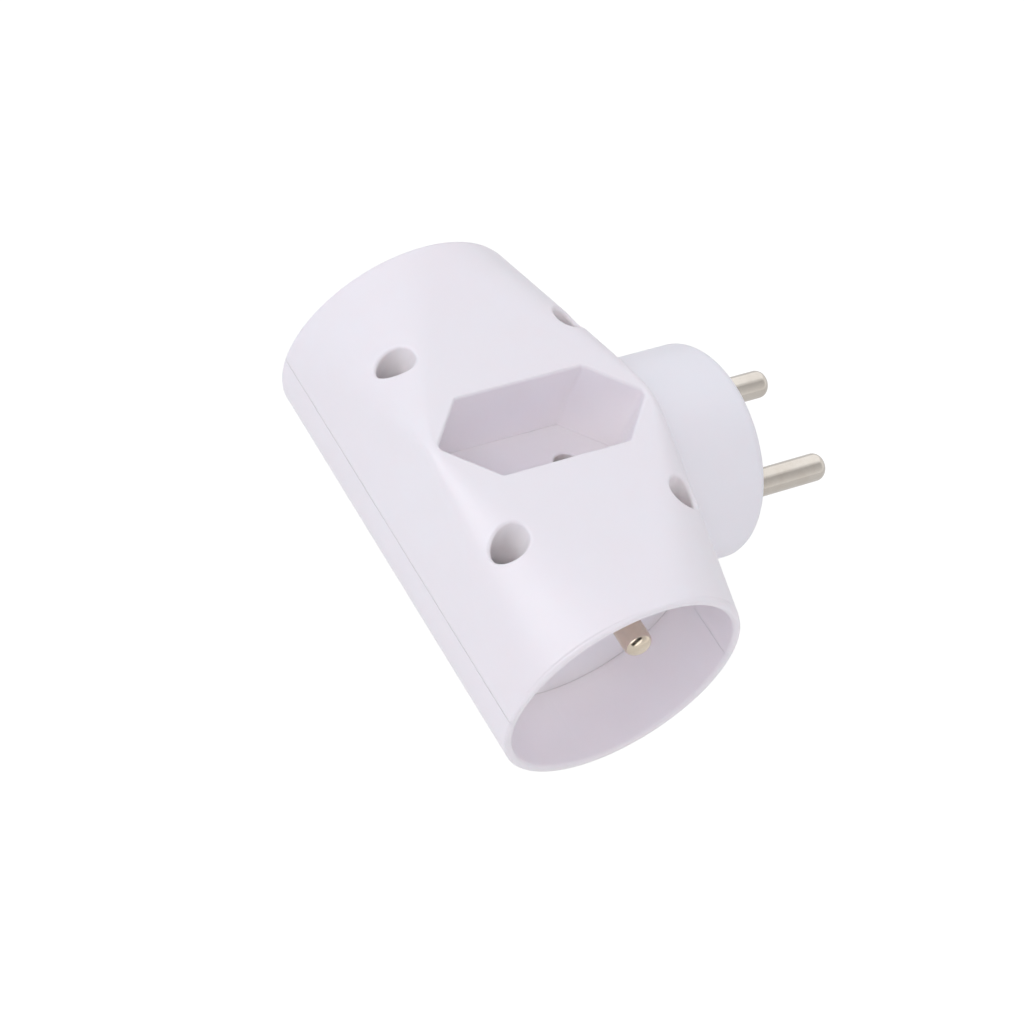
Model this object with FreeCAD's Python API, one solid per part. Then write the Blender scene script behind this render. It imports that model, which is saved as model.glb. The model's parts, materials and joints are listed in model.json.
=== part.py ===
import FreeCAD, Part
import math
import os

# Plug-in adapter: a round body lying along Y with an earthed socket in each end, a flat
# two-pole socket in its top and a round plug on its +X side. All sizes are millimetres.
# The pieces are worked out with the body's axis on Y and the plug's axis on X, and are
# moved at the end so that the origin is the centre of the plug's face.

# Body
body_radius = 21.5          # half the width, and the radius of the round ends and underside
half_length = 38.8          # from the middle to either end
wall = 1.45                 # thickness of the moulded shells
crown = 0.5                 # by which the top rises towards the middle of the body
ridge_radius = 1.6          # corner radius of the squared middle of the body
ridge_blend = 3.5           # length over which the two straight ridges run into each other
least_corner = 0.4          # least corner radius of the inner forms
least_flat = 0.04           # half width of the flats where they run out at the ends
form_stations = 16          # evenly spaced sections that the form is drawn through, less one
rim_wall = 1.45             # thickness of the rim round each end socket
rim_round = 0.65            # rounding of the rim at each end
rim_relief = 0.05           # by which that rounding starts outside the round ends
rim_runout = 2.0            # length over which it fades along the ridges
rim_slope = 0.7             # and how fast it leaves them
rim_cover = 4.0             # how far outside the round ends it still cuts
joint_width = 0.12          # fine groove round the joint of the two shells
joint_depth = 0.10

# Earthed sockets in the two ends
recess_draft = 0.12         # how much narrower the recess is at its floor
recess_depth = 14.2
face_thickness = 1.7        # disc that forms the floor of the recess
face_flange = 1.1           # thickness of its flange, held in the groove round it
face_lip = 0.5              # how far the flange reaches into the groove
face_clearance = 0.08
pole_spacing = 19.0         # between live and neutral, on every socket and on the plug
contact_hole_radius = 2.75
contact_hole_bevel = 0.5
earth_offset = 10.0         # from the socket's centre up to its earth pin
earth_pin_inset = 0.2       # from the rim back to the pin's tip

# Two-pole socket in the top
slot_end_wall = 1.7         # between the slot's ends and the body's sides
slot_flat_half = 12.1       # half the length of its two long sides
slot_half_width = 8.0
slot_floor_height = 7.0     # above the body's axis
slot_draft = 0.13           # how much smaller the floor is all round
slot_corner = 1.0
slot_least_corner = 0.3
slot_edge_round = 0.6
slot_round_steps = 4
slot_wall = 1.5
slot_floor = 2.0
slot_well_gap = 0.5         # from the top of the slot's walls up to the outside
slot_hole_radius = 2.25
slot_hole_bevel = 0.25

# Case screws
screw_side = 5.2            # from the body's side in to the screws
screw_back = 4.05           # from the back of the end sockets to the screws
screw_hole_radius = 2.7     # shaft that the screw's head goes down
screw_hole_round = 0.5      # rounding of the shaft's mouth
screw_boss_wall = 1.25
screw_seat_height = 3.0     # above the joint between the shells
screw_head_radius = 2.6
screw_head_height = 2.0
screw_head_edge = 0.8       # height of the head's straight edge
screw_head_crown = 0.3      # drop of the head's top half way out
screw_shank_radius = 1.45
screw_length = 11.5         # under the head
screw_point = 1.2
screw_clearance = 0.1
screw_hole_extra = 0.8      # depth of the hole in the post below the screw
screw_post_clearance = 0.02
screw_post_radius = 3.4
screw_drive_width = 0.8
screw_drive_reach = 1.6
screw_drive_depth = 1.0

# Plug
plug_stand = 17.8           # from the body's side to the plug's face
plug_radius = 18.5
plug_edge_round = 1.8
plug_wall = 1.8
plug_shoulder = 0.7         # ledge that the face disc sits against
plug_face_thickness = 3.0
plug_back_wall = 1.8
plug_fit = 0.05             # gap where the plug's casing meets the body
saddle_margin = 6.0         # by which the body's form is drawn past the plug to shape its casing
neck_side = 3.7             # from the pins' axes out to the neck's sides
neck_top = 4.3
neck_bottom = -10.1
neck_wall = 1.3
neck_strip_gap = 0.3        # how near to the strips the neck may reach
neck_lip = 1.2              # how far the inner flange reaches past the neck
neck_clearance = 0.1
flange_thickness = 1.4
pin_radius = 2.4            # of the plug's pins and of the earth pins
pin_length = 19.0
pin_tip_round = 1.7
pin_root_radius = 2.8       # thicker part of each pin, behind the face that it stands on
pin_boss_radius = 4.0
pin_boss_length = 6.0
pin_collar_radius = 3.5
pin_collar_length = 1.5
pin_tail_radius = 1.2
pin_bore_clearance = 0.05
plug_earth_hole_radius = 2.75

# Contacts and strips
brass = 0.8                 # thickness of the three strips
spring = 0.6                # thickness of the contact springs
jaw_radius = 2.45           # inside of the spring jaws
jaw_angle = 150.0           # how far each jaw wraps round the pin
funnel_flare = 0.4          # widening of the jaws' mouths
funnel_depth = 0.8
end_contact_back = 9.4      # from the back of an end socket's face to its contacts
end_contact_length = 6.5
top_contact_low = 10.0      # height of the top socket's contacts over the body's underside
top_contact_high = -4.8
rivet_head_inside = 0.3
rivet_head_outside = 0.5
rivet_radius = 1.0
rivet_head_radius = 1.6
rivet_clearance = 0.05
rivet_gap = 0.05            # between a rivet's inner head and an inserted pin
rivet_hole_reach = 2.0
link_top = -1.5             # of the low middle stretch of the live and neutral strips
link_height = 3.0
link_step_top = 0.6         # slant between that stretch and the ends of the strips
link_step_low = 0.4
strip_corner = 0.5
strip_inner_corner = 0.2
arm_half_width = 1.8
arm_drop = -5.5             # height at which the strips cross to the plug
bend_radius = 0.8
pad_height = 3.2            # of the plates that hold the plug pins, above the pins' axis
earth_strip_height = 2.0
earth_half_width = 2.5
earth_plate_top = 13.0
tail_head_radius = 2.0
tail_head_height = 0.6
sleeve_wall = 0.6
sleeve_stand = 4.3          # from the body's side to the sleeve's base
sleeve_end_gap = 0.1        # from the sleeve's mouth to the plug's face disc
sleeve_base = 0.8
sleeve_slit = 0.8
sleeve_clearance = 0.1      # round the sleeve, in its boss
sleeve_boss_wall = 1.3
sleeve_boss_length = 4.0

# Ribs that carry the strips
rib_thickness = 1.2
rib_slot_depth = 1.5
rib_end = 0.9               # of each rib outside the strips
rib_inner_end = 1.2         # and inside them
rib_slot_clearance = 0.1
rib_low_top = -7.2          # between the strips
rib_bite = 0.5              # by which the upper ribs run into the slot's floor
rib_margin = 0.5            # by which they are wider than a strip

# Places that follow from these sizes
pole = pole_spacing / 2
plug_reach = body_radius + plug_stand
recess_radius = body_radius - rim_wall
recess_floor_radius = recess_radius - recess_draft
face_front = half_length - recess_depth
face_back = face_front - face_thickness
groove_front = face_back + face_flange
groove_radius = recess_radius + face_lip
slot_half_length = body_radius - slot_end_wall
slot_top = body_radius + crown
well_bottom = slot_floor_height - slot_floor
screw_x = body_radius - screw_side
screw_y = face_back - screw_back
boss_radius = screw_hole_radius + screw_boss_wall
contact_base = jaw_radius + rivet_head_inside + rivet_gap + spring
strip_inner = pole + contact_base
strip_outer = strip_inner + brass
contact_half_width = jaw_radius + spring
end_contact_far = face_back - end_contact_back
end_contact_near = end_contact_far - end_contact_length
top_contact_foot = top_contact_low - body_radius
rib_room_end = min(end_contact_near - link_step_top, pole - arm_half_width)
rib_half_spacing = (contact_half_width + rib_room_end) / 2
plug_seat = plug_reach - plug_face_thickness
plug_hollow_radius = plug_radius - plug_wall - plug_shoulder
neck_half_width = pole + neck_side
neck_start = strip_outer + neck_strip_gap
boss_end = plug_seat - pin_boss_length
plate_far = boss_end - pin_collar_length
plate_near = plate_far - brass
sleeve_near = body_radius + sleeve_stand
sleeve_length = plug_seat - sleeve_end_gap - sleeve_near
sleeve_outer = jaw_radius + sleeve_wall
saddle_reach = plug_radius + saddle_margin

# Cutting tools
cut_past = 1.0              # by which a tool runs past what it cuts
mouth_samples = 6           # points at which an edge is looked at
mouth_tolerance = 0.02
big = 200.0

X = FreeCAD.Vector(1, 0, 0)
Y = FreeCAD.Vector(0, 1, 0)
Z = FreeCAD.Vector(0, 0, 1)


def vec(x, y, z):
    return FreeCAD.Vector(x, y, z)


def box(x0, x1, y0, y1, z0, z1):
    return Part.makeBox(x1 - x0, y1 - y0, z1 - z0, vec(x0, y0, z0))


def rod(radius, start, direction, length):
    return Part.makeCylinder(radius, length, start, direction)


def fuse(*shapes):
    flat = [one for item in shapes for one in (item if isinstance(item, list) else [item])]
    return flat[0].multiFuse(flat[1:]).removeSplitter()


def cut(shape, *tools):
    flat = [one for item in tools for one in (item if isinstance(item, list) else [item])]
    return shape.cut(flat)


def rounded_outline(corners, plane):
    """Closed wire through corners given as (u, v, radius); plane turns (u, v) into a point."""
    count = len(corners)
    edges = []
    entries = []
    for index, (u, v, radius) in enumerate(corners):
        here = vec(u, v, 0)
        before = vec(*corners[index - 1][:2], 0)
        after = vec(*corners[(index + 1) % count][:2], 0)
        back = (before - here).normalize()
        ahead = (after - here).normalize()
        half_angle = back.getAngle(ahead) / 2
        reach = radius / math.tan(half_angle)
        middle = (back + ahead).normalize()
        centre = here + middle * (radius / math.sin(half_angle))
        entries.append((here + back * reach, centre - middle * radius, here + ahead * reach, radius))
    for index, (start, crown, end, radius) in enumerate(entries):
        if radius > 0:
            edges.append(Part.Arc(plane(start), plane(crown), plane(end)).toShape())
        following = entries[(index + 1) % count][0]
        if (following - end).Length > 1e-6:
            edges.append(Part.LineSegment(plane(end), plane(following)).toShape())
    return Part.Wire(edges)


def in_yz(x):
    return lambda p: vec(x, p.x, p.y)


def in_xz(y):
    return lambda p: vec(p.x, y, p.y)


def in_xy(z):
    return lambda p: vec(p.x, p.y, z)


def plate(corners, plane, direction):
    """Flat piece: a rounded outline, pushed along direction."""
    return Part.Face(rounded_outline(corners, plane)).extrude(direction)


def turned(profile, origin, axis, radial, angle=360):
    """Solid of revolution; profile is a list of (along, out) points, with arcs as pairs of points."""
    def at(point):
        return origin + axis * point[0] + radial * point[1]
    edges = []
    last = profile[0]
    for item in profile[1:] + [profile[0]]:
        if isinstance(item[0], tuple):
            edges.append(Part.Arc(at(last), at(item[0]), at(item[1])).toShape())
            last = item[1]
        else:
            edges.append(Part.LineSegment(at(last), at(item)).toShape())
            last = item
    return Part.Face(Part.Wire(edges)).revolve(origin, axis, angle)


def roundness(y):
    """How round the body's upper half is at y, from 0 in the middle to 1 at the ends."""
    span = math.hypot(half_length, ridge_blend) - ridge_blend
    return min((math.hypot(y, ridge_blend) - ridge_blend) / span, 1.0)


def arch(y, inset):
    """Upper half of the body's section at y, drawn inset from the outside."""
    half = body_radius - inset
    share = roundness(y)
    outer_corner = ridge_radius + (body_radius - ridge_radius) * share
    corner = min(max(outer_corner - inset, least_corner), half - least_flat)
    top = half + crown * (1 - share)
    knee_x = half - corner
    knee_z = top - corner
    bend = corner * math.sqrt(0.5)
    points = [vec(-half, y, 0), vec(-half, y, knee_z), vec(-knee_x, y, top), vec(knee_x, y, top),
              vec(half, y, knee_z), vec(half, y, 0)]
    left = Part.Arc(points[1], vec(-knee_x - bend, y, knee_z + bend), points[2]).toShape()
    right = Part.Arc(points[3], vec(knee_x + bend, y, knee_z + bend), points[4]).toShape()
    edges = [Part.makeLine(points[0], points[1]), left, Part.makeLine(points[2], points[3]), right,
             Part.makeLine(points[4], points[5]), Part.makeLine(points[5], points[0])]
    return Part.Wire(edges)


def upper_form(inset, reach):
    """The upper half of the body's form, square in the middle and round at the ends."""
    stations = [reach * (2 * step / form_stations - 1) for step in range(form_stations + 1)]
    return Part.makeLoft([arch(y, inset) for y in stations], True, False)


def body_form(inset, reach):
    """The whole of the body's form, inset all over, without its rounded rims."""
    lower = rod(body_radius - inset, vec(0, -reach, 0), Y, 2 * reach)
    lower = lower.common(box(-big, big, -big, big, -big, 0))
    return fuse(upper_form(inset, reach), lower)


def rim_rounding(side):
    """Ring that rounds the outside of one rim, and runs out gently along the ridges."""
    start = half_length - rim_round
    low = body_radius - rim_round
    high = body_radius + rim_relief
    slant = (rim_round + rim_relief) * math.sqrt(0.5)
    profile = [(start - rim_runout, high + rim_runout * rim_slope), (start, high),
               ((start + slant, low + slant), (half_length + rim_relief, low)),
               (half_length + cut_past, low), (half_length + cut_past, body_radius + rim_cover),
               (start - rim_runout, body_radius + rim_cover)]
    return turned(profile, vec(0, 0, 0), Y * side, Z * -1)


def upper_outside():
    return cut(upper_form(0, half_length), rim_rounding(1), rim_rounding(-1))


def joint_groove():
    """Fine groove that shows where the two shells meet."""
    slab = box(-big, big, -big, big, -joint_width, cut_past)
    return cut(slab, rod(body_radius - joint_depth, vec(0, -big, 0), Y, 2 * big))


def lower_outside():
    bar = rod(body_radius, vec(0, -half_length, 0), Y, 2 * half_length)
    return cut(bar, box(-big, big, -big, big, 0, big), joint_groove(), rim_rounding(1), rim_rounding(-1))


def recess_space(side):
    """Space of one end socket: groove for its face disc, tapered wall and rounded mouth."""
    round_start = half_length - rim_round
    mouth = recess_radius + rim_round
    halfway = rim_round * math.sqrt(0.5)
    profile = [(face_back, 0), (face_back, groove_radius), (groove_front, groove_radius),
               (groove_front, recess_floor_radius), (round_start, recess_radius),
               ((round_start + halfway, mouth - halfway), (half_length, mouth)),
               (half_length + cut_past, mouth), (half_length + cut_past, 0)]
    return turned(profile, vec(0, 0, 0), Y * side, Z * -1)


def hexagon(grow, z):
    """Outline of the top socket, grown sideways by grow."""
    run = slot_half_length - slot_flat_half
    slant = math.hypot(run, slot_half_width)
    tip = slot_half_length + grow * slant / slot_half_width
    width = slot_half_width + grow
    flat = tip - width * run / slot_half_width
    corner = max(slot_corner + grow, slot_least_corner)
    corners = [(tip, 0, corner), (flat, width, corner), (-flat, width, corner),
               (-tip, 0, corner), (-flat, -width, corner), (flat, -width, corner)]
    return rounded_outline(corners, in_xy(z))


def slot_space():
    """Tapered hexagonal space of the top socket, flared by its rounded edge."""
    foot = hexagon(-slot_draft, slot_floor_height)
    taper = Part.makeLoft([foot, hexagon(0, slot_top)], True, True)
    rings = []
    for step in range(slot_round_steps + 1):
        angle = math.pi / 2 * step / slot_round_steps
        grow = slot_edge_round * (1 - math.cos(angle))
        rings.append(hexagon(grow, slot_top - slot_edge_round * (1 - math.sin(angle))))
    flare = [Part.makeLoft([low, high], True, True) for low, high in zip(rings, rings[1:])]
    return fuse(taper, *flare)


def slot_well():
    """Walls and floor of the top socket."""
    height = slot_top - slot_well_gap - well_bottom
    return Part.Face(hexagon(slot_wall, well_bottom)).extrude(Z * height)


def screw_places():
    return [(sx * screw_x, sy * screw_y) for sx in (-1, 1) for sy in (-1, 1)]


def neck_space(clearance):
    """Opening through the body's +X side for the plug's neck."""
    return box(neck_start, big, -neck_half_width - clearance, neck_half_width + clearance,
               neck_bottom - clearance, neck_top + clearance)


def slot_holes():
    holes = []
    for side in (-1, 1):
        start = vec(side * pole, 0, well_bottom - cut_past)
        holes.append(rod(slot_hole_radius, start, Z, slot_floor + 2 * cut_past))
        bevel_start = vec(side * pole, 0, slot_floor_height - slot_hole_bevel)
        outer = slot_hole_radius + slot_hole_bevel
        holes.append(Part.makeCone(slot_hole_radius, outer, slot_hole_bevel, bevel_start, Z))
    return holes


def across_strip(pole_side, margin):
    """Least and greatest x of the live or neutral strip, with a margin on both sides."""
    return sorted((pole_side * (strip_inner - margin), pole_side * (strip_outer + margin)))


def upper_ribs():
    """Ribs that hold the three strips down."""
    ribs = []
    near = rib_half_spacing - rib_thickness / 2
    far = rib_half_spacing + rib_thickness / 2
    over = well_bottom + rib_bite
    earth_top = earth_strip_height + brass / 2
    half = earth_half_width - rib_margin
    for side in (-1, 1):
        ys = sorted((side * near, side * far))
        ribs.append(box(-half, half, *ys, earth_top, over))
        for pole_side in (-1, 1):
            ribs.append(box(*across_strip(pole_side, rib_margin), *ys, link_top, over))
    return ribs


def screw_shafts():
    return [rod(screw_hole_radius, vec(x, y, screw_seat_height), Z, big) for x, y in screw_places()]


def lies_on_mouth(edge):
    """Whether an edge follows the mouth of a screw shaft."""
    share = (edge.LastParameter - edge.FirstParameter) / mouth_samples
    points = [edge.valueAt(edge.FirstParameter + share * step) for step in range(mouth_samples + 1)]
    if min(point.z for point in points) < slot_floor_height:
        return False
    for x, y in screw_places():
        outs = [abs(math.hypot(point.x - x, point.y - y) - screw_hole_radius) for point in points]
        if max(outs) < mouth_tolerance:
            return True
    return False


def upper_shell():
    outside = upper_outside()
    bosses = [rod(boss_radius, vec(x, y, 0), Z, body_radius) for x, y in screw_places()]
    inside = upper_form(wall / 2, face_back).common(fuse(slot_well(), bosses))
    shell = fuse(cut(outside, upper_form(wall, face_back)), inside)
    shank_hole = screw_shank_radius + screw_clearance
    shanks = [rod(shank_hole, vec(x, y, -cut_past), Z, big) for x, y in screw_places()]
    spaces = [slot_space(), slot_holes(), screw_shafts(), shanks, recess_space(1), recess_space(-1)]
    shell = cut(shell, *spaces)
    shell = fuse(cut(shell, neck_space(neck_clearance)), upper_ribs())
    return shell.makeFillet(screw_hole_round, [edge for edge in shell.Edges if lies_on_mouth(edge)])


def screw_post(x, y):
    return rod(screw_post_radius, vec(x, y, -body_radius), Z, body_radius)


def cross_rib(side):
    """Wall across the lower shell, slotted for the live and neutral strips."""
    y = side * rib_half_spacing - rib_thickness / 2
    strip_low = link_top - link_height
    top = strip_low + rib_slot_depth
    end = strip_outer + rib_end
    ys = (y, y + rib_thickness)
    past = (y - cut_past, y + rib_thickness + cut_past)
    tall = box(-end, end, *ys, -body_radius, top)
    middle = strip_inner - rib_inner_end
    slots = [box(-middle, middle, *past, rib_low_top, big)]
    for pole_side in (-1, 1):
        slots.append(box(*across_strip(pole_side, rib_slot_clearance), *past, strip_low, big))
    earth_low = earth_strip_height - brass / 2
    post = box(-earth_half_width, earth_half_width, *ys, rib_low_top - cut_past, earth_low)
    return fuse(cut(tall, slots), post)


def lower_shell():
    cavity = rod(body_radius - wall, vec(0, -face_back, 0), Y, 2 * face_back)
    posts = [screw_post(x, y) for x, y in screw_places()]
    within = rod(body_radius - wall / 2, vec(0, -face_back, 0), Y, 2 * face_back)
    inside = within.common(fuse(posts, cross_rib(1), cross_rib(-1)))
    shell = fuse(cut(lower_outside(), cavity), inside)
    depth = screw_length - screw_seat_height + screw_hole_extra
    radius = screw_shank_radius + screw_post_clearance
    pilots = [rod(radius, vec(x, y, -depth), Z, big) for x, y in screw_places()]
    return cut(shell, pilots, recess_space(1), recess_space(-1), neck_space(neck_clearance))


def socket_face(side):
    """Stepped disc that closes the body behind one end recess."""
    back = vec(0, side * face_back, 0)
    flange = rod(groove_radius - face_clearance, back, Y * side, face_flange)
    disc = fuse(flange, rod(recess_floor_radius - face_clearance, back, Y * side, face_thickness))
    holes = [rod(pin_root_radius + pin_bore_clearance, vec(0, 0, earth_offset), Y * side, big)]
    for pole_side in (-1, 1):
        centre = vec(pole_side * pole, 0, 0)
        holes.append(rod(contact_hole_radius, centre, Y * side, big))
        mouth = centre + Y * side * (face_front - contact_hole_bevel)
        holes.append(Part.makeCone(contact_hole_radius, contact_hole_radius + contact_hole_bevel,
                                   contact_hole_bevel, mouth, Y * side))
    return cut(disc, holes)


def headed_pin(start, axis, radial, tip, face_at, collar_at):
    """Turned pin: rounded tip, thicker root, collar, thin tail through a strip and a riveted head."""
    slant = pin_tip_round * math.sqrt(0.5)
    shoulder = tip - pin_tip_round
    plate_at = collar_at - pin_collar_length
    head_at = plate_at - brass
    profile = [(tip, 0), (tip, pin_radius - pin_tip_round),
               ((shoulder + slant, pin_radius - pin_tip_round + slant), (shoulder, pin_radius)),
               (face_at, pin_radius), (face_at, pin_root_radius), (collar_at, pin_root_radius),
               (collar_at, pin_collar_radius), (plate_at, pin_collar_radius),
               (plate_at, pin_tail_radius), (head_at, pin_tail_radius), (head_at, tail_head_radius),
               (head_at - tail_head_height, tail_head_radius), (head_at - tail_head_height, 0)]
    return turned(profile, start, axis, radial)


def earth_pin(side):
    tip = half_length - earth_pin_inset
    return headed_pin(vec(0, 0, earth_offset), Y * side, Z, tip, face_front, face_back)


def plug_pin(side):
    tip = plug_reach + pin_length
    return headed_pin(vec(0, side * pole, 0), X, Y, tip, plug_reach, boss_end)


def jaw_profile(plane):
    """Section of a contact spring: a flat base, two leaves and two jaws round the pin at (0, 0)."""
    outer = contact_half_width
    base = contact_base
    angle = math.radians(jaw_angle)
    middle = (angle + math.pi / 2) / 2

    def at(radius, turn, side):
        return plane(vec(radius * math.cos(turn), side * radius * math.sin(turn), 0))

    def line(a, b):
        return Part.LineSegment(a, b).toShape()

    def arc(radius, turns, side):
        a, b, c = [at(radius, turn, side) for turn in turns]
        return Part.Arc(a, b, c).toShape()
    up = (math.pi / 2, middle, angle)
    down = (angle, middle, math.pi / 2)
    corner = [plane(vec(base, outer, 0)), plane(vec(base, -outer, 0))]
    inner = [plane(vec(base - spring, jaw_radius, 0)), plane(vec(base - spring, -jaw_radius, 0))]
    edges = [line(corner[1], corner[0]), line(corner[0], at(outer, math.pi / 2, 1)), arc(outer, up, 1),
             line(at(outer, angle, 1), at(jaw_radius, angle, 1)), arc(jaw_radius, down, 1),
             line(at(jaw_radius, math.pi / 2, 1), inner[0]), line(inner[0], inner[1]),
             line(inner[1], at(jaw_radius, math.pi / 2, -1)), arc(jaw_radius, up, -1),
             line(at(jaw_radius, angle, -1), at(outer, angle, -1)), arc(outer, down, -1),
             line(at(outer, math.pi / 2, -1), corner[1])]
    return Part.Face(Part.Wire(edges))


def end_contact(side, pole_side):
    """Spring contact behind one hole of an end socket."""
    def plane(p):
        return vec(pole_side * (pole + p.x), side * end_contact_near, p.y)
    length = end_contact_far - end_contact_near
    spring_shape = jaw_profile(plane).extrude(Y * side * length)
    mouth = vec(pole_side * pole, side * end_contact_far, 0)
    start = mouth - Y * side * funnel_depth
    funnel = Part.makeCone(jaw_radius, jaw_radius + funnel_flare, funnel_depth, start, Y * side)
    hole = rivet_hole(end_rivet_place(side, pole_side), pole_side)
    return cut(spring_shape, funnel, hole)


def top_contact(pole_side):
    """Spring contact under one hole of the top socket."""
    def plane(p):
        return vec(pole_side * (pole + p.x), p.y, top_contact_foot)
    length = top_contact_high - top_contact_foot
    spring_shape = jaw_profile(plane).extrude(Z * length)
    start = vec(pole_side * pole, 0, top_contact_high - funnel_depth)
    funnel = Part.makeCone(jaw_radius, jaw_radius + funnel_flare, funnel_depth, start, Z)
    hole = rivet_hole(top_rivet_place(pole_side), pole_side)
    return cut(spring_shape, funnel, hole)


def end_rivet_place(side, pole_side):
    middle = (end_contact_near + end_contact_far) / 2
    return vec(pole_side * strip_inner, side * middle, 0)


def top_rivet_place(pole_side):
    return vec(pole_side * strip_inner, 0, (top_contact_foot + top_contact_high) / 2)


def rivet_hole(place, pole_side):
    radius = rivet_radius + rivet_clearance
    return rod(radius, place - X * pole_side * rivet_hole_reach, X * pole_side, 2 * rivet_hole_reach)


def rivet(place, pole_side):
    """Rivet through a contact's base and its strip, flat inside and raised outside."""
    inside = spring
    profile = [(-inside - rivet_head_inside, 0), (-inside - rivet_head_inside, rivet_head_radius),
               (-inside, rivet_head_radius), (-inside, rivet_radius), (brass, rivet_radius),
               (brass, rivet_head_radius), (brass + rivet_head_outside / 2, rivet_head_radius),
               (brass + rivet_head_outside, rivet_radius), (brass + rivet_head_outside, 0)]
    return turned(profile, place, X * pole_side, Z)


def contact_rivets():
    rivets = []
    for pole_side in (-1, 1):
        places = [end_rivet_place(-1, pole_side), end_rivet_place(1, pole_side), top_rivet_place(pole_side)]
        rivets += [rivet(place, pole_side) for place in places]
    return Part.makeCompound(rivets)


def pole_strip(pole_side, pin_side):
    """Live or neutral strip: a stamped plate with an arm bent round to its plug pin."""
    pad = contact_half_width
    low = link_top - link_height
    near, far = end_contact_near, end_contact_far
    half = [(far, -pad, strip_corner), (far, pad, strip_corner), (near, pad, strip_corner),
            (near - link_step_top, link_top, strip_corner)]
    half_low = [(near, -pad, strip_inner_corner), (near - link_step_low, low, strip_corner),
                (pad, low, strip_corner), (pad, top_contact_foot, strip_corner)]
    upper = half + [(-y, z, round_by) for y, z, round_by in reversed(half)]
    lower = [(-y, z, round_by) for y, z, round_by in half_low] + list(reversed(half_low))
    outline = upper + lower
    start = across_strip(pole_side, 0)[0]
    sheet = plate(outline, in_yz(start), X * brass)
    arm = strip_arm(pole_side, pin_side)
    holes = [rivet_hole(end_rivet_place(side, pole_side), pole_side) for side in (-1, 1)]
    holes.append(rivet_hole(top_rivet_place(pole_side), pole_side))
    return cut(fuse(sheet, arm), holes)


def strip_arm(pole_side, pin_side):
    """Arm that drops from the plate, crosses to the plug and stands up behind its pin."""
    left = across_strip(pole_side, 0)[0]
    low = arm_drop - brass / 2
    top = -jaw_radius
    outer_bend = bend_radius + brass
    high = low + brass
    outline = [(left, top, 0), (left, low, outer_bend), (plate_far, low, outer_bend),
               (plate_far, pad_height, 0), (plate_near, pad_height, 0), (plate_near, high, bend_radius),
               (left + brass, high, bend_radius), (left + brass, top, 0)]
    y = pin_side * pole - arm_half_width
    arm = plate(outline, in_xz(y), Y * 2 * arm_half_width)
    hole_start = vec(plate_near - cut_past, pin_side * pole, 0)
    hole = rod(pin_tail_radius + rivet_clearance, hole_start, X, brass + 2 * cut_past)
    return cut(arm, hole)


def earth_strip():
    """Strip that joins both earth pins and the plug's earth sleeve, passing under the top socket."""
    plate_y = face_back - pin_collar_length
    low = earth_strip_height - brass / 2
    high = low + brass
    outer_bend = bend_radius + brass
    outline = [(-plate_y, earth_plate_top, 0), (-plate_y, low, outer_bend), (plate_y, low, outer_bend),
               (plate_y, earth_plate_top, 0), (plate_y - brass, earth_plate_top, 0),
               (plate_y - brass, high, bend_radius), (-plate_y + brass, high, bend_radius),
               (-plate_y + brass, earth_plate_top, 0)]
    along = plate(outline, in_yz(-earth_half_width), X * 2 * earth_half_width)
    upright = sleeve_near
    outline = [(0, low, 0), (upright, low, outer_bend), (upright, earth_plate_top, 0),
               (upright - brass, earth_plate_top, 0), (upright - brass, high, bend_radius), (0, high, 0)]
    across = plate(outline, in_xz(-earth_half_width), Y * 2 * earth_half_width)
    tail = pin_tail_radius + rivet_clearance
    sleeve_hole_start = vec(upright - brass - cut_past, 0, earth_offset)
    holes = [rod(tail, vec(0, -big, earth_offset), Y, 2 * big),
             rod(tail, sleeve_hole_start, X, brass + 2 * cut_past)]
    return cut(fuse(along, across), holes)


def earth_sleeve():
    """Split sleeve that grips the wall socket's earth pin, riveted to the earth strip."""
    profile = [(sleeve_length, jaw_radius), (sleeve_length, sleeve_outer), (0, sleeve_outer),
               (0, pin_tail_radius), (-brass, pin_tail_radius), (-brass, tail_head_radius),
               (-brass - tail_head_height, tail_head_radius), (-brass - tail_head_height, 0),
               (sleeve_base, 0), (sleeve_base, jaw_radius)]
    sleeve = turned(profile, vec(sleeve_near, 0, earth_offset), X, Z)
    slit_start = sleeve_near + 2 * sleeve_base
    half = sleeve_slit / 2
    slits = [box(slit_start, big, -half, half, 0, big),
             box(slit_start, big, -big, big, earth_offset - half, earth_offset + half)]
    return cut(sleeve, slits)


def plug_casing():
    """Round casing of the plug, open at its face and shaped to the body's side."""
    edge = plug_reach - plug_edge_round
    inner = plug_radius - plug_edge_round
    slant = plug_edge_round * math.sqrt(0.5)
    profile = [(0, 0), (0, plug_radius), (edge, plug_radius),
               ((edge + slant, inner + slant), (plug_reach, inner)), (plug_reach, 0)]
    casing = cut(turned(profile, vec(0, 0, 0), X, Z), body_form(-plug_fit, saddle_reach))
    hollow = rod(plug_hollow_radius, vec(0, 0, 0), X, plug_seat)
    hollow = cut(hollow, body_form(-plug_fit - plug_back_wall, saddle_reach))
    seat = rod(plug_radius - plug_wall, vec(plug_seat, 0, 0), X, plug_face_thickness + cut_past)
    return cut(casing, hollow, seat)


def plug_neck():
    """Neck through the body's side, with the flange that the shells hold it by."""
    neck = neck_space(0).common(body_form(-plug_fit - plug_back_wall / 2, saddle_reach))
    lip = box(neck_start, big, -neck_half_width - neck_lip, neck_half_width + neck_lip,
              neck_bottom - neck_lip, neck_top)
    flange = lip.common(body_form(wall + plug_fit, saddle_reach))
    return cut(fuse(neck, flange), body_form(wall + plug_fit + flange_thickness, saddle_reach))


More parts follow.
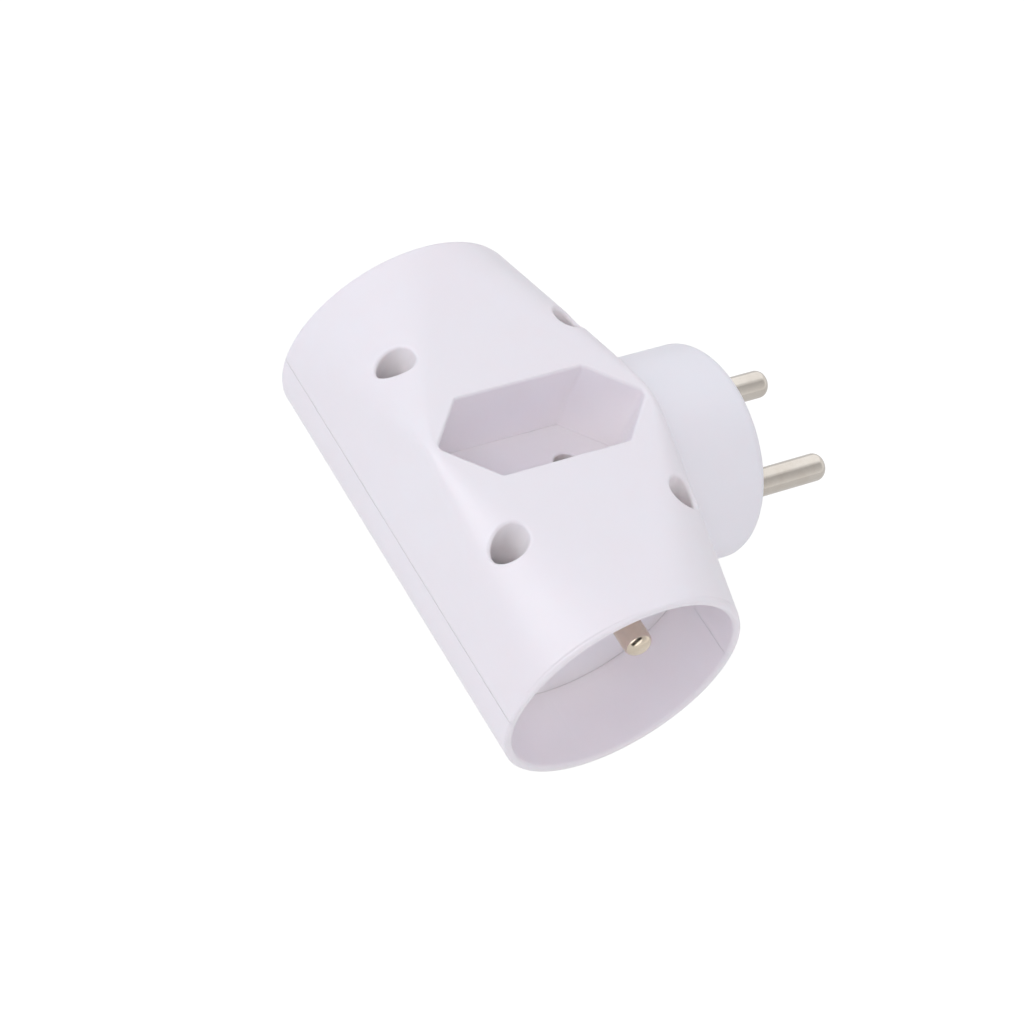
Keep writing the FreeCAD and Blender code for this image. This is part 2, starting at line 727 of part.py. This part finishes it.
def plug_body():
    """Casing of the plug, with the passage for the strips through its neck."""
    side = neck_half_width - neck_wall
    end = body_radius + plug_fit + plug_back_wall + cut_past
    passage = box(0, end, -side, side, neck_bottom + neck_wall, neck_top - neck_wall)
    return cut(fuse(plug_casing(), plug_neck()), passage)


def plug_face():
    """Disc in the end of the plug that carries the pins and guides the wall socket's earth pin."""
    disc = rod(plug_radius - plug_wall - plug_fit, vec(plug_seat, 0, 0), X, plug_face_thickness)
    bosses = [rod(pin_boss_radius, vec(boss_end, side * pole, 0), X, pin_boss_length) for side in (-1, 1)]
    sleeve_boss_start = vec(plug_seat - sleeve_boss_length, 0, earth_offset)
    bosses.append(rod(sleeve_outer + sleeve_boss_wall, sleeve_boss_start, X, sleeve_boss_length))
    within = rod(plug_hollow_radius - plug_fit, vec(0, 0, 0), X, plug_reach)
    bosses = [boss.common(within) for boss in bosses]
    root_hole = pin_root_radius + pin_bore_clearance
    holes = [rod(root_hole, vec(0, side * pole, 0), X, big) for side in (-1, 1)]
    holes.append(rod(plug_earth_hole_radius, vec(0, 0, earth_offset), X, big))
    holes.append(rod(sleeve_outer + sleeve_clearance, vec(0, 0, earth_offset), X, plug_seat))
    return cut(fuse(disc, bosses), holes)


def screw(x, y):
    """Pan-head case screw, head down in the shaft of the upper shell."""
    seat = screw_seat_height
    foot = seat - screw_length
    top = seat + screw_head_height
    dome = (top - screw_head_crown, screw_head_radius / 2)
    profile = [(foot, 0), (foot + screw_point, screw_shank_radius), (seat, screw_shank_radius),
               (seat, screw_head_radius), (seat + screw_head_edge, screw_head_radius), (dome, (top, 0))]
    body = turned(profile, vec(x, y, 0), Z, X)
    half = screw_drive_width / 2
    reach = screw_drive_reach
    heights = (top - screw_drive_depth, top + cut_past)
    drive = fuse(box(x - reach, x + reach, y - half, y + half, *heights),
                 box(x - half, x + half, y - reach, y + reach, *heights))
    return cut(body, drive)


def case_screws():
    return Part.makeCompound([screw(x, y) for x, y in screw_places()])


def pieces():
    """Every piece by name, right and left as seen by someone facing the wall socket."""
    named = {
        "upper_shell": upper_shell(),
        "lower_shell": lower_shell(),
        "plug_body": plug_body(),
        "plug_face": plug_face(),
        "case_screws": case_screws(),
        "earth_strip": earth_strip(),
        "plug_earth_sleeve": earth_sleeve(),
        "live_strip": pole_strip(-1, 1),
        "neutral_strip": pole_strip(1, -1),
        "live_plug_pin": plug_pin(1),
        "neutral_plug_pin": plug_pin(-1),
        "top_live_contact": top_contact(-1),
        "top_neutral_contact": top_contact(1),
        "contact_rivets": contact_rivets(),
    }
    for name, side in (("right", -1), ("left", 1)):
        named[name + "_socket_face"] = socket_face(side)
        named[name + "_earth_pin"] = earth_pin(side)
        named[name + "_live_contact"] = end_contact(side, -1)
        named[name + "_neutral_contact"] = end_contact(side, 1)
    return named


def main():
    os.makedirs("parts", exist_ok=True)
    for name, shape in pieces().items():
        shape.translate(vec(-plug_reach, 0, 0))
        shape.exportStep("parts/" + name + ".step")
        print(name, "solids", len(shape.Solids), "valid", shape.isValid(), "volume", round(shape.Volume, 1))


main()
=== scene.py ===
import json
import bpy
from mathutils import Matrix, Vector


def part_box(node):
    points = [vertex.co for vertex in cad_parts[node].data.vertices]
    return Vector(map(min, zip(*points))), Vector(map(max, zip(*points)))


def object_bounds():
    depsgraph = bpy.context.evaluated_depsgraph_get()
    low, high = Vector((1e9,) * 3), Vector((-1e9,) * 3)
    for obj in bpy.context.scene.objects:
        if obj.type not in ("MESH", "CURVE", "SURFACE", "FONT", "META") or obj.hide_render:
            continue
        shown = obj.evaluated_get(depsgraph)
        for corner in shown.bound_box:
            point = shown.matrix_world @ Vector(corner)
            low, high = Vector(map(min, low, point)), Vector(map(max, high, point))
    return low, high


# Looks, light and camera for the adapter. Lengths are metres, and the model's frame is used
# as it is: +X along the plug's pins, +Z towards the flat socket.

mm = 0.001
up = (0.0, 0.0, 1.0)
white = (1.0, 1.0, 1.0)

# Camera, as it stood for the photograph: from the body's centre, in millimetres
camera_place = (-300.0, -272.5, 449.0)
camera_right = (0.83499, -0.48044, 0.26827)
camera_up = (0.23686, 0.75386, 0.61285)
camera_back = (-0.49667, -0.44818, 0.74327)
camera_lens = 130.46
camera_sensor = 36.0
camera_nearest = 0.01
camera_farthest = 20.0

# Colours
casing_white = (0.915, 0.865, 0.938)
casing_cool = (0.915, 0.880, 0.955)
casing_warm = (0.920, 0.860, 0.918)
# Painted light: the lighter, warmer colour that holes and recesses are painted towards, standing in for
# light bounced inside them
hollow_painted_light = (0.970, 0.925, 0.945)
plug_white = (0.890, 0.870, 0.945)
plug_cool = (0.885, 0.877, 0.955)
nickel = (0.63, 0.585, 0.535)
nickel_dull = (0.52, 0.46, 0.40)
nickel_warm = (0.77, 0.665, 0.54)
brass_bright = (0.80, 0.58, 0.25)
brass_dull = (0.52, 0.35, 0.14)
zinc = (0.66, 0.67, 0.70)
zinc_dull = (0.42, 0.43, 0.46)
paper_grey = 0.90

# Plastic: scales are in features per metre
cloud_scale = 45
patch_scale = 160
patch_share = 0.5
gloss_scale = 220
gloss_below = 0.04
gloss_above = 0.07
wear_scale = 900
wear_stretch = (1.0, 0.12, 1.0)
wear_roughness = 0.10
wear_range = (0.62, 0.80)
sink_scale = 70
sink_depth = 0.12 * mm
skin_scale = 2600
skin_depth = 0.006 * mm
skin_strength = 0.6
edge_radius = 0.25 * mm
edge_samples = 4
# Painted light in holes and recesses: how far its mask reaches, its samples and its range
hollow_reach = 14 * mm
hollow_samples = 6
hollow_range = (0.25, 0.85)
plastic_specular = 0.5
plastic_index = 1.53
glow_share = 0.15
glow_depth = 1.2 * mm
glow_spread = (1.0, 0.7, 0.75)

# Metal: along X, the nickel is warmer in the recesses than on the plug's pins
tarnish_scale = 240
tarnish_share = 0.55
tarnish_range = (0.38, 0.72)
mark_scale = 900
mark_depth = 0.004 * mm
mark_below = 0.06
mark_above = 0.12
warm_until = -20 * mm
plain_from = -10 * mm

# Light on the object
world_level = 0.26
lamp_cool = (0.94, 0.97, 1.0)

# Floor: what it sheds on the object, and how bright it is seen and mirrored
floor_size = 3.0
floor_gap = 0.02 * mm
floor_fill = 0.10
floor_shade = 0.26
floor_glow = 0.85
floor_mirrored = 0.60

# Room that the metal mirrors, as cosines of angles and strengths of light
room_side = (-0.204, -0.765, 0.612)
room_edge = (0.31, 0.37)
room_top = 0.85
room_dim = 0.60
glare_level = 1.7
glare_edge = (0.64, 0.70)
figure_side = (0.43, -0.86, -0.24)
figure_shift = 0.12
figure_edge = (0.28, 0.34)
figure_level = 0.06


def new_material(name):
    """New material, with its node tree and its shader."""
    material = bpy.data.materials.new(name)
    material.use_nodes = True
    tree = material.node_tree
    tree.nodes.clear()
    output = tree.nodes.new("ShaderNodeOutputMaterial")
    shader = tree.nodes.new("ShaderNodeBsdfPrincipled")
    tree.links.new(shader.outputs["BSDF"], output.inputs["Surface"])
    return material, tree, shader


def place_in_model(tree):
    return tree.nodes.new("ShaderNodeTexCoord").outputs["Object"]


def noise(tree, scale, detail=3.0, rough=0.5, stretch=None):
    """Noise in the model's own metres; scale is in features per metre."""
    node = tree.nodes.new("ShaderNodeTexNoise")
    node.inputs["Scale"].default_value = scale
    node.inputs["Detail"].default_value = detail
    node.inputs["Roughness"].default_value = rough
    place = place_in_model(tree)
    if stretch:
        mapping = tree.nodes.new("ShaderNodeMapping")
        mapping.inputs["Scale"].default_value = stretch
        tree.links.new(place, mapping.inputs["Vector"])
        place = mapping.outputs["Vector"]
    tree.links.new(place, node.inputs["Vector"])
    return node.outputs["Fac"]


def spread(tree, value, low, high, from_low=0.3, from_high=0.7):
    """Maps from_low..from_high of a value onto low..high, and holds it there beyond."""
    node = tree.nodes.new("ShaderNodeMapRange")
    node.inputs["From Min"].default_value = from_low
    node.inputs["From Max"].default_value = from_high
    node.inputs["To Min"].default_value = low
    node.inputs["To Max"].default_value = high
    tree.links.new(value, node.inputs["Value"])
    return node.outputs["Result"]


def blend(tree, factor, first, second):
    """Colour between two others; each is a colour or a node's output."""
    node = tree.nodes.new("ShaderNodeMix")
    node.data_type = "RGBA"
    tree.links.new(factor, node.inputs["Factor"])
    for name, colour in (("A", first), ("B", second)):
        socket = [s for s in node.inputs if s.name == name and s.type == "RGBA"][0]
        if isinstance(colour, tuple):
            socket.default_value = (*colour, 1.0)
        else:
            tree.links.new(colour, socket)
    return [s for s in node.outputs if s.type == "RGBA"][0]


def combined(tree, operation, first, second):
    """Two values joined by a Math operation, such as ADD."""
    node = tree.nodes.new("ShaderNodeMath")
    node.operation = operation
    tree.links.new(first, node.inputs[0])
    tree.links.new(second, node.inputs[1])
    return node.outputs[0]


def bump(tree, height, depth, strength=1.0, under=None):
    """Relief of a given depth; under is the normal that it lies on."""
    node = tree.nodes.new("ShaderNodeBump")
    node.inputs["Strength"].default_value = strength
    node.inputs["Distance"].default_value = depth
    tree.links.new(height, node.inputs["Height"])
    if under is not None:
        tree.links.new(under, node.inputs["Normal"])
    return node.outputs["Normal"]


def hollow_light_mask(tree):
    """Mask for painted light: 0 on an open surface, up to 1 deep inside a hole or recess, where the
    colour is painted lighter and warmer.
    """
    node = tree.nodes.new("ShaderNodeAmbientOcclusion")
    node.samples = hollow_samples
    node.inputs["Distance"].default_value = hollow_reach
    return spread(tree, node.outputs["AO"], 1.0, 0.0, *hollow_range)


def soft_edges(tree):
    """Normal that runs softly round sharp edges."""
    node = tree.nodes.new("ShaderNodeBevel")
    node.samples = edge_samples
    node.inputs["Radius"].default_value = edge_radius
    return node.outputs["Normal"]


def moulded_plastic(name, main, cool, warm, roughness):
    """Satin moulded plastic: faint clouds of tint, uneven gloss, sink marks, a fine skin, and painted
    light that makes holes and recesses lighter and warmer.
    """
    material, tree, shader = new_material(name)
    clouds = spread(tree, noise(tree, cloud_scale, detail=2.0), 0.0, 1.0)
    patches = spread(tree, noise(tree, patch_scale, detail=4.0), 0.0, patch_share)
    colour = blend(tree, clouds, main, cool)
    colour = blend(tree, patches, colour, warm)
    # Painted light: holes and recesses are painted lighter and warmer, standing in for light bounced
    # inside them
    colour = blend(tree, hollow_light_mask(tree), colour, hollow_painted_light)
    tree.links.new(colour, shader.inputs["Base Color"])
    rubbed = noise(tree, wear_scale, rough=0.7, stretch=wear_stretch)
    wear = spread(tree, rubbed, 0.0, wear_roughness, *wear_range)
    uneven = noise(tree, gloss_scale, detail=5.0, rough=0.6)
    gloss = spread(tree, uneven, roughness - gloss_below, roughness + gloss_above)
    tree.links.new(combined(tree, "ADD", gloss, wear), shader.inputs["Roughness"])
    sinks = bump(tree, noise(tree, sink_scale, detail=1.0), sink_depth, under=soft_edges(tree))
    skin = bump(tree, noise(tree, skin_scale, detail=2.0), skin_depth, skin_strength, under=sinks)
    tree.links.new(skin, shader.inputs["Normal"])
    shader.inputs["Specular IOR Level"].default_value = plastic_specular
    shader.inputs["IOR"].default_value = plastic_index
    shader.inputs["Subsurface Weight"].default_value = glow_share
    shader.inputs["Subsurface Scale"].default_value = glow_depth
    shader.inputs["Subsurface Radius"].default_value = glow_spread
    return material


def along_x(tree, start, end):
    """0 before start and 1 past end, along the model's X."""
    place = tree.nodes.new("ShaderNodeSeparateXYZ")
    tree.links.new(place_in_model(tree), place.inputs[0])
    return spread(tree, place.outputs["X"], 0.0, 1.0, start, end)


def metal(name, bright, dull, roughness, stretch, behind=None):
    """Drawn or rolled metal: tarnish in patches, and fine marks along its length."""
    material, tree, shader = new_material(name)
    clouds = noise(tree, tarnish_scale, detail=4.0, rough=0.6)
    tarnish = spread(tree, clouds, 0.0, tarnish_share, *tarnish_range)
    marks = noise(tree, mark_scale, rough=0.6, stretch=stretch)
    if behind:
        bright = blend(tree, along_x(tree, warm_until, plain_from), behind, bright)
    tree.links.new(blend(tree, tarnish, bright, dull), shader.inputs["Base Color"])
    polish = spread(tree, marks, roughness - mark_below, roughness + mark_above)
    tree.links.new(polish, shader.inputs["Roughness"])
    tree.links.new(bump(tree, marks, mark_depth), shader.inputs["Normal"])
    shader.inputs["Metallic"].default_value = 1.0
    return material


def casing_plastic():
    return moulded_plastic("satin_white_casing", casing_white, casing_cool, casing_warm, roughness=0.33)


def plug_plastic():
    return moulded_plastic("satin_white_plug", plug_white, plug_cool, casing_white, roughness=0.36)


def face_plastic():
    return moulded_plastic("satin_white_face", plug_white, plug_cool, casing_warm, roughness=0.40)


def nickel_plate():
    grain = (0.25, 0.25, 1.0)
    return metal("nickel_plated_pin", nickel, nickel_dull, 0.13, grain, behind=nickel_warm)


def materials():
    """One material for each of the model's finishes."""
    return {
        "white_casing": casing_plastic(),
        "white_plug": plug_plastic(),
        "white_socket_face": face_plastic(),
        "nickel_pin": nickel_plate(),
        "brass_spring": metal("spring_brass", brass_bright, brass_dull, 0.30, (1.0, 1.0, 0.2)),
        "brass_strip": metal("stamped_brass", brass_bright, brass_dull, 0.34, (1.0, 0.2, 1.0)),
        "zinc_screw": metal("zinc_plated_screw", zinc, zinc_dull, 0.28, (1.0, 1.0, 0.4)),
    }


def dress(frame):
    """Gives every node the material of its slot in the record."""
    finishes = materials()
    slots = {part["node"]: part["material_slot"] for part in frame["record"]["subparts"]}
    for name, item in frame["nodes"].items():
        item.data.materials.clear()
        item.data.materials.append(finishes[slots[name]])


def add_camera(centre):
    data = bpy.data.cameras.new("camera")
    data.lens = camera_lens
    data.sensor_width = camera_sensor
    data.clip_start = camera_nearest
    data.clip_end = camera_farthest
    camera = bpy.data.objects.new("camera", data)
    turn = Matrix((camera_right, camera_up, camera_back)).transposed()
    camera.matrix_world = Matrix.Translation(centre + Vector(camera_place) * mm) @ turn.to_4x4()
    bpy.context.scene.collection.objects.link(camera)
    bpy.context.scene.camera = camera


def add_lamp(name, place, aim, size, power, tint=white, mirrored=True):
    """Square soft box; one that isn't mirrored lights the object but shows in no reflection."""
    data = bpy.data.lights.new(name, "AREA")
    data.shape = "SQUARE"
    data.size = size
    data.energy = power
    data.color = tint
    lamp = bpy.data.objects.new(name, data)
    lamp.location = place
    lamp.rotation_euler = (Vector(aim) - Vector(place)).to_track_quat("-Z", "Y").to_euler()
    lamp.visible_glossy = mirrored
    bpy.context.scene.collection.objects.link(lamp)


def add_lamps(aim):
    """Soft boxes round the object; the metal mirrors only the left one and the wide back one."""
    add_lamp("soft_box_left", (-0.54, 0.08, 0.34), aim, size=0.5, power=1.20, tint=lamp_cool)
    add_lamp("soft_box_back", (0.16, 0.48, 0.52), aim, size=1.4, power=2.0, tint=lamp_cool)
    add_lamp("soft_box_far", (0.0, 0.45, 0.50), aim, size=0.5, power=0.72, tint=lamp_cool, mirrored=False)
    add_lamp("soft_box_front", (-0.42, -0.36, 0.60), aim, size=0.25, power=1.10, mirrored=False)
    add_lamp("soft_box_right", (0.30, -0.50, 0.35), aim, size=0.8, power=1.50, mirrored=False)


def light_path(tree, kind):
    """1 for rays of a kind, such as Is Camera Ray, else 0."""
    return tree.nodes.new("ShaderNodeLightPath").outputs[kind]


def seen_or_mirrored(tree):
    """1 for rays from the camera and for those that metal or plastic reflects, else 0."""
    value = light_path(tree, "Is Camera Ray")
    for kind in ("Is Glossy Ray", "Is Transmission Ray"):
        value = combined(tree, "MAXIMUM", value, light_path(tree, kind))
    return value


def towards(tree, direction):
    """Cosine of the angle between a ray into the surroundings and a direction."""
    node = tree.nodes.new("ShaderNodeVectorMath")
    node.operation = "DOT_PRODUCT"
    way = tree.nodes.new("ShaderNodeTexCoord").outputs["Generated"]
    tree.links.new(way, node.inputs[0])
    node.inputs[1].default_value = direction
    return node.outputs["Value"]


def figure_before_lamp(tree, room):
    """The room, and in it the bright lamp beside the camera with a dark figure before it."""
    across = towards(tree, figure_side)
    shifted = spread(tree, across, -1.0 - figure_shift, 1.0 - figure_shift, -1.0, 1.0)
    aside = tree.nodes.new("ShaderNodeMath")
    aside.operation = "ABSOLUTE"
    tree.links.new(shifted, aside.inputs[0])
    figure = spread(tree, aside.outputs[0], figure_level, glare_level, *figure_edge)
    lamp = spread(tree, towards(tree, camera_back), 0.0, 1.0, *glare_edge)
    lit = combined(tree, "MULTIPLY", lamp, figure)
    rest = combined(tree, "MULTIPLY", spread(tree, lamp, 1.0, 0.0, 0.0, 1.0), room)
    return combined(tree, "ADD", lit, rest)


def backdrop(tree):
    """White to the camera; metal mirrors a room that is darker behind the camera and high up."""
    behind = spread(tree, towards(tree, room_side), 0.0, 1.0, *room_edge)
    above = spread(tree, towards(tree, up), 0.0, 1.0, 0.0, room_top)
    room = spread(tree, combined(tree, "MULTIPLY", behind, above), 1.0, room_dim, 0.0, 1.0)
    mirrored = figure_before_lamp(tree, room)
    return combined(tree, "MAXIMUM", mirrored, light_path(tree, "Is Camera Ray"))


def mixed_surface(tree, output, for_light, for_sight):
    """Shows one shader to diffuse rays and another to those seen or mirrored."""
    mix = tree.nodes.new("ShaderNodeMixShader")
    tree.links.new(seen_or_mirrored(tree), mix.inputs[0])
    tree.links.new(for_light, mix.inputs[1])
    tree.links.new(for_sight, mix.inputs[2])
    tree.links.new(mix.outputs[0], output.inputs["Surface"])


def add_world():
    """Pale surroundings that light the object evenly, plain white to the camera."""
    world = bpy.data.worlds.new("surroundings")
    world.use_nodes = True
    bpy.context.scene.world = world
    tree = world.node_tree
    tree.nodes.clear()
    output = tree.nodes.new("ShaderNodeOutputWorld")
    light = tree.nodes.new("ShaderNodeBackground")
    light.inputs["Color"].default_value = (*white, 1.0)
    light.inputs["Strength"].default_value = world_level
    seen = tree.nodes.new("ShaderNodeBackground")
    seen.inputs["Color"].default_value = (*white, 1.0)
    tree.links.new(backdrop(tree), seen.inputs["Strength"])
    mixed_surface(tree, output, light.outputs[0], seen.outputs[0])


def glowing_paper(tree, grey):
    """Matt paper of a grey level with some light of its own; gives its surface and its glow."""
    paper = tree.nodes.new("ShaderNodeBsdfDiffuse")
    paper.inputs["Color"].default_value = (grey, grey, grey, 1.0)
    glow = tree.nodes.new("ShaderNodeEmission")
    both = tree.nodes.new("ShaderNodeAddShader")
    tree.links.new(paper.outputs[0], both.inputs[0])
    tree.links.new(glow.outputs[0], both.inputs[1])
    return both.outputs[0], glow.inputs["Strength"]


def floor_material():
    """White paper: a faint shadow shows on it, and the camera sees the rest as white."""
    material = bpy.data.materials.new("white_paper")
    material.use_nodes = True
    tree = material.node_tree
    tree.nodes.clear()
    output = tree.nodes.new("ShaderNodeOutputMaterial")
    table, fill = glowing_paper(tree, paper_grey)
    fill.default_value = floor_fill
    sight, glow = glowing_paper(tree, floor_shade)
    camera_ray = light_path(tree, "Is Camera Ray")
    tree.links.new(spread(tree, camera_ray, floor_mirrored, floor_glow, 0.0, 1.0), glow)
    mixed_surface(tree, output, table, sight)
    return material


def add_floor(height):
    half = floor_size / 2
    corners = [(-half, -half, height), (half, -half, height), (half, half, height), (-half, half, height)]
    mesh = bpy.data.meshes.new("floor")
    mesh.from_pydata(corners, [], [(0, 1, 2, 3)])
    mesh.materials.append(floor_material())
    floor = bpy.data.objects.new("floor", mesh)
    bpy.context.scene.collection.objects.link(floor)


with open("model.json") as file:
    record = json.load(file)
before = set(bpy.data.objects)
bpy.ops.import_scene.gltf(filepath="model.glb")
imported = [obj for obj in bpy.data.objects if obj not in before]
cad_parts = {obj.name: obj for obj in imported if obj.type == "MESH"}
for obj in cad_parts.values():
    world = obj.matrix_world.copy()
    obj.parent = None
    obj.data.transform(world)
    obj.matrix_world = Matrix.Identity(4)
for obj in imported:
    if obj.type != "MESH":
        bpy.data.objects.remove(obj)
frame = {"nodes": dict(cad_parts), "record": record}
cad_low, cad_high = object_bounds()
body_low, body_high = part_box("upper_shell")
body_centre = Vector(((body_low[0] + body_high[0]) / 2, 0.0, 0.0))
add_camera(body_centre)
dress(frame)
add_world()
add_lamps(body_centre)
add_floor(cad_low[2] - floor_gap)
bpy.context.scene.view_settings.view_transform = "Standard"
